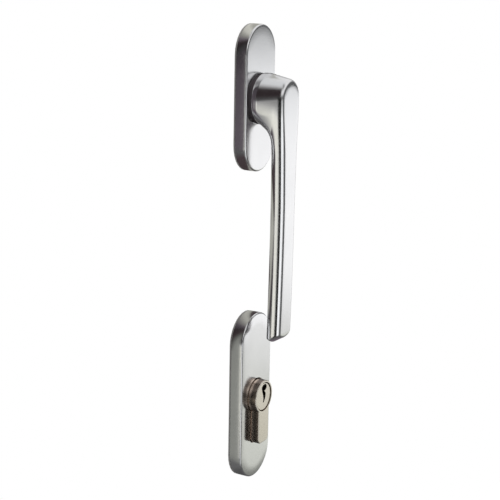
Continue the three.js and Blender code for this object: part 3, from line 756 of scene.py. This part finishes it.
# ------------------------------------------------------------------ camera
AZIMUTH, ELEVATION, ROLL = map(math.radians, (-60.178, 14.244, 1.056))
CAMERA_PLACE = (-0.55014, -0.31756, 0.0855)
LENS, SENSOR = 95.21, 36
flat = math.cos(ELEVATION)
back = Vector((math.sin(AZIMUTH) * flat, -math.cos(AZIMUTH) * flat, math.sin(ELEVATION)))
level = Vector((math.cos(AZIMUTH), math.sin(AZIMUTH), 0))
above = back.cross(level)
right = level * math.cos(ROLL) + above * math.sin(ROLL)
up = above * math.cos(ROLL) - level * math.sin(ROLL)
camera_data = bpy.data.cameras.new("camera")
camera_data.sensor_width = SENSOR
camera_data.lens = LENS
camera = bpy.data.objects.new("camera", camera_data)
scene.collection.objects.link(camera)
facing = Matrix((right, up, back)).transposed().to_4x4()
camera.matrix_world = Matrix.Translation(CAMERA_PLACE) @ facing
scene.camera = camera

# ------------------------------------------------------------------ studio
scene.view_settings.view_transform = "Standard"


def panel(name, centre, upward, width, height, look):
    """A flat rectangle of the studio with its width along X, which isn't part of the object."""
    centre, across, upward = Vector(centre), Vector((1, 0, 0)), Vector(upward)
    corners = []
    for sx, sy in ((-1, -1), (1, -1), (1, 1), (-1, 1)):
        corners.append(centre + across * (sx * width / 2) + upward * (sy * height / 2))
    mesh = bpy.data.meshes.new(name)
    mesh.from_pydata(corners, [], [(0, 1, 2, 3)])
    mesh.materials.append(look)
    made = bpy.data.objects.new(name, mesh)
    scene.collection.objects.link(made)
    return made


def soft_light(name, place, target, width, height, power):
    """A softbox that lights the object and shows neither to the camera nor in reflections."""
    data = bpy.data.lights.new(name, "AREA")
    data.shape = "RECTANGLE"
    data.size, data.size_y = width, height
    data.energy = power
    made = bpy.data.objects.new(name, data)
    scene.collection.objects.link(made)
    made.location = place
    made.rotation_mode = "QUATERNION"
    made.rotation_quaternion = (Vector(place) - Vector(target)).to_track_quat("Z", "Y")
    made.visible_camera = False
    made.visible_glossy = False
    return made


def glowing(tree, colour):
    """An Emission shader of a colour or a colour socket."""
    glow = tree.nodes.new("ShaderNodeEmission")
    if isinstance(colour, tuple):
        glow.inputs["Color"].default_value = colour
    else:
        tree.links.new(colour, glow.inputs["Color"])
    return glow.outputs["Emission"]


def matt_look(name, colour):
    """A plain matt material."""
    made = bpy.data.materials.new(name)
    made.use_nodes = True
    shader = made.node_tree.nodes["Principled BSDF"]
    shader.inputs["Base Color"].default_value = (*colour, 1)
    shader.inputs["Roughness"].default_value = 0.9
    shader.inputs["Specular IOR Level"].default_value = 0.0
    return made


def wall_look():
    """White from the front only, with a hole where the keyway passes the wall."""
    made, tree = bare_material("studio_wall")
    away = tree.nodes.new("ShaderNodeVectorMath")
    away.operation = "DISTANCE"
    away.inputs[1].default_value = (0, 0, CYLINDER["z"] * MM)
    tree.links.new(tree.nodes.new("ShaderNodeTexCoord").outputs["Object"], away.inputs[0])
    hole = math_node(tree, "LESS_THAN", away.outputs["Value"], PLUG["flange"] * MM)
    behind = tree.nodes.new("ShaderNodeNewGeometry").outputs["Backfacing"]
    choose = tree.nodes.new("ShaderNodeMixShader")
    tree.links.new(math_node(tree, "MAXIMUM", hole, behind), choose.inputs["Fac"])
    tree.links.new(glowing(tree, (1, 1, 1, 1)), choose.inputs[1])
    tree.links.new(tree.nodes.new("ShaderNodeBsdfTransparent").outputs["BSDF"], choose.inputs[2])
    out = tree.nodes.new("ShaderNodeOutputMaterial")
    tree.links.new(choose.outputs["Shader"], out.inputs["Surface"])
    return made


def card_look():
    """Painted light and shade by height, standing in for a lit board with the plates' shadows on it. Where
    the plates' round ends are they lean sideways, to follow the ends' tilt.
    """
    made, tree = bare_material("studio_card")
    where = axes(tree, tree.nodes.new("ShaderNodeTexCoord").outputs["Object"])
    lean_stops = [(z, 0.5 + lean / MOST_LEAN / 2, GREY) for z, lean in LEANS]
    lean = map_range(tree, shades(tree, where["Z"], lean_stops), 0, 1, -MOST_LEAN, MOST_LEAN)
    aside = math_node(tree, "ADD", where["X"], LEAN_FROM)
    slanted = math_node(tree, "MULTIPLY_ADD", aside, lean, where["Z"])
    out = tree.nodes.new("ShaderNodeOutputMaterial")
    tree.links.new(glowing(tree, shades(tree, slanted, CARD_SHADES)), out.inputs["Surface"])
    return made


GREY = (1.0, 1.0, 1.0)
PLUM = (1.06, 0.90, 1.04)
UMBER = (1.18, 0.88, 0.94)
SAGE = (1.0, 1.02, 0.93)
CREAM = (1.02, 1.01, 0.91)
COOL = (0.985, 1.0, 1.01)
FLOOR_Z, FLOOR_SIZE, WALL_SIZE = -0.36, 8, 6
CARD_HALF, CARD_Y = 0.0315, 0.0004
MOST_LEAN, LEAN_FROM = 1.6, 0.021
# (height, lean) of the card's shades, in metres and metres up for each metre aside
LEANS = [
    (-0.225, -1.6),
    (-0.186, -1.6),
    (-0.180, 0.0),
    (-0.129, 0.0),
    (-0.123, 1.6),
    (-0.090, 1.6),
    (-0.060, -0.8),
    (-0.027, -0.8),
    (-0.021, 0.0),
    (0.018, 0.0),
    (0.024, 1.6),
    (0.060, 1.6),
]
# (slanted height in metres, brightness, tint) of the card's painted light and shade
CARD_SHADES = [
    (-0.228, 0.08, GREY),
    (-0.213, 0.10, GREY),
    (-0.203, 0.145, GREY),
    (-0.194, 0.145, GREY),
    (-0.181, 0.28, SAGE),
    (-0.127, 0.285, SAGE),
    (-0.122, 0.25, SAGE),
    (-0.115, 0.12, SAGE),
    (-0.109, 0.038, UMBER),
    (-0.101, 0.026, UMBER),
    (-0.093, 0.085, PLUM),
    (-0.075, 0.40, CREAM),
    (-0.068, 0.48, CREAM),
    (-0.060, 0.36, CREAM),
    (-0.056, 0.05, UMBER),
    (-0.037, 0.06, UMBER),
    (-0.030, 0.105, GREY),
    (-0.022, 0.115, PLUM),
    (0.010, 0.092, PLUM),
    (0.018, 0.058, PLUM),
    (0.027, 0.045, GREY),
    (0.0345, 0.018, UMBER),
    (0.0385, 0.032, UMBER),
    (0.0435, 0.13, PLUM),
    (0.051, 0.32, CREAM),
    (0.060, 0.60, CREAM),
    (0.069, 0.66, CREAM),
    (0.078, 0.42, CREAM),
]
floor_look = matt_look("studio_floor", (0.82, 0.82, 0.81))
floor = panel("studio_floor", (0, 0, FLOOR_Z), (0, 1, 0), FLOOR_SIZE, FLOOR_SIZE, floor_look)
# a pale wall in the sash plane, which only the camera sees
wall = panel("studio_wall", (0, 0, 0), (0, 0, 1), WALL_SIZE, WALL_SIZE, wall_look())
# a glowing card close behind the fittings, seen only in reflections, with painted light and shade: the shade
# that the plates stand in
card_bottom, card_top = LEANS[0][0], LEANS[-1][0]
card_middle = (0, CARD_Y, (card_top + card_bottom) / 2)
card = panel("studio_card", card_middle, (0, 0, 1), 2 * CARD_HALF, card_top - card_bottom, card_look())

for item in (wall, card):
    item.visible_diffuse = False
    item.visible_shadow = False
    item.visible_transmission = False
    item.visible_volume_scatter = False
wall.visible_glossy = False
card.visible_camera = False
floor.visible_glossy = False

soft_light("top_softbox", (-0.1, -0.2, 1.1), (0, 0, -0.1), 1.6, 1.6, 22)
soft_light("front_softbox", (0.55, -1.0, 0.2), (0, 0, -0.08), 1.0, 1.2, 12)

# ------------------------------------------------------------------ the studio round it
# brightness by height above the horizon, in degrees
SKY_SHADES = [
    (-90, 0.10, GREY),
    (-45, 0.12, GREY),
    (-32, 0.20, SAGE),
    (-27, 0.28, SAGE),
    (-25, 0.42, SAGE),
    (-23.5, 0.94, SAGE),
    (-20, 0.66, SAGE),
    (-18, 0.93, GREY),
    (-16, 1.20, GREY),
    (-11, 1.22, GREY),
    (-8.5, 1.20, GREY),
    (-5.5, 1.24, COOL),
    (-4, 0.52, COOL),
    (0, 0.75, COOL),
    (10, 0.85, GREY),
    (30, 0.92, GREY),
    (60, 0.90, GREY),
    (75, 0.84, COOL),
    (90, 0.74, COOL),
]

# screens and gaps, each over the ones before it: bearings from and to with their soft edge, the lower
# height with its soft edge, the upper height with its own, brightness, tint.
# Bearing 0 is the left, 90 the room, 180 the right and -90 behind the sash.
SCREENS = [
    (-205, -20, 15, -95, 1, -4, 8, 0.17, PLUM),
    (-112, -42, 12, -32, 5, -20, 5, 0.36, SAGE),
    (-205, -118, 12, 4, 6, 26, 12, 0.50, GREY),
    (-205, -118, 12, -22, 6, 4, 5, 0.06, UMBER),
    (42, 95, 26, 44, 12, 84, 8, 0.24, GREY),
    (-66, 34, 12, -6, 9, 62, 18, 0.026, UMBER),
    (-40, 34, 12, -1, 5, 8, 12, 0.11, GREY),
    (-66, -32, 4, -24, 5, -5, 4, 0.02, SAGE),
    (-25, 7, 5, -24, 2, -10, 5, 1.02, CREAM),
    (-38, 7, 5, -60, 5, -24.5, 1.5, 0.32, GREY),
    (8, 42, 4, -60, 5, 8, 8, 0.012, SAGE),
    (40, 92, 5, -8, 3, 12, 8, 0.18, GREY),
    (50, 81, 5, -45, 8, -8.5, 3.5, 1.3, COOL),
    (89, 136, 4, -60, 10, 12, 8, 0.12, COOL),
    (98, 176, 5, -5, 1.5, 20, 8, 0.12, COOL),
]

world = bpy.data.worlds.new("studio_world")
scene.world = world
world.use_nodes = True
tree = world.node_tree
tree.nodes.clear()
toward = axes(tree, tree.nodes.new("ShaderNodeTexCoord").outputs["Generated"])
backward = math_node(tree, "MULTIPLY", toward["Y"], -1.0)
leftward = math_node(tree, "MULTIPLY", toward["X"], -1.0)
bearing = math_node(tree, "MULTIPLY", math_node(tree, "ARCTAN2", backward, leftward), 180 / math.pi)
height = math_node(tree, "MULTIPLY", math_node(tree, "ARCSINE", toward["Z"]), 180 / math.pi)
colour = shades(tree, height, SKY_SHADES)
for start, end, soft_side, low, soft_low, high, soft_high, brightness, tint in SCREENS:
    edges = (
        soft_step(tree, bearing, start - soft_side, start + soft_side),
        soft_step(tree, bearing, end + soft_side, end - soft_side),
        soft_step(tree, height, low - soft_low, low + soft_low),
        soft_step(tree, height, high + soft_high, high - soft_high),
    )
    sideways = math_node(tree, "MULTIPLY", edges[0], edges[1])
    upright = math_node(tree, "MULTIPLY", edges[2], edges[3])
    mask = math_node(tree, "MULTIPLY", sideways, upright)
    colour = mix_colours(tree, mask, colour, tinted(brightness, tint))

sky = tree.nodes.new("ShaderNodeBackground")
out = tree.nodes.new("ShaderNodeOutputWorld")
tree.links.new(colour, sky.inputs["Color"])
tree.links.new(sky.outputs["Background"], out.inputs["Surface"])
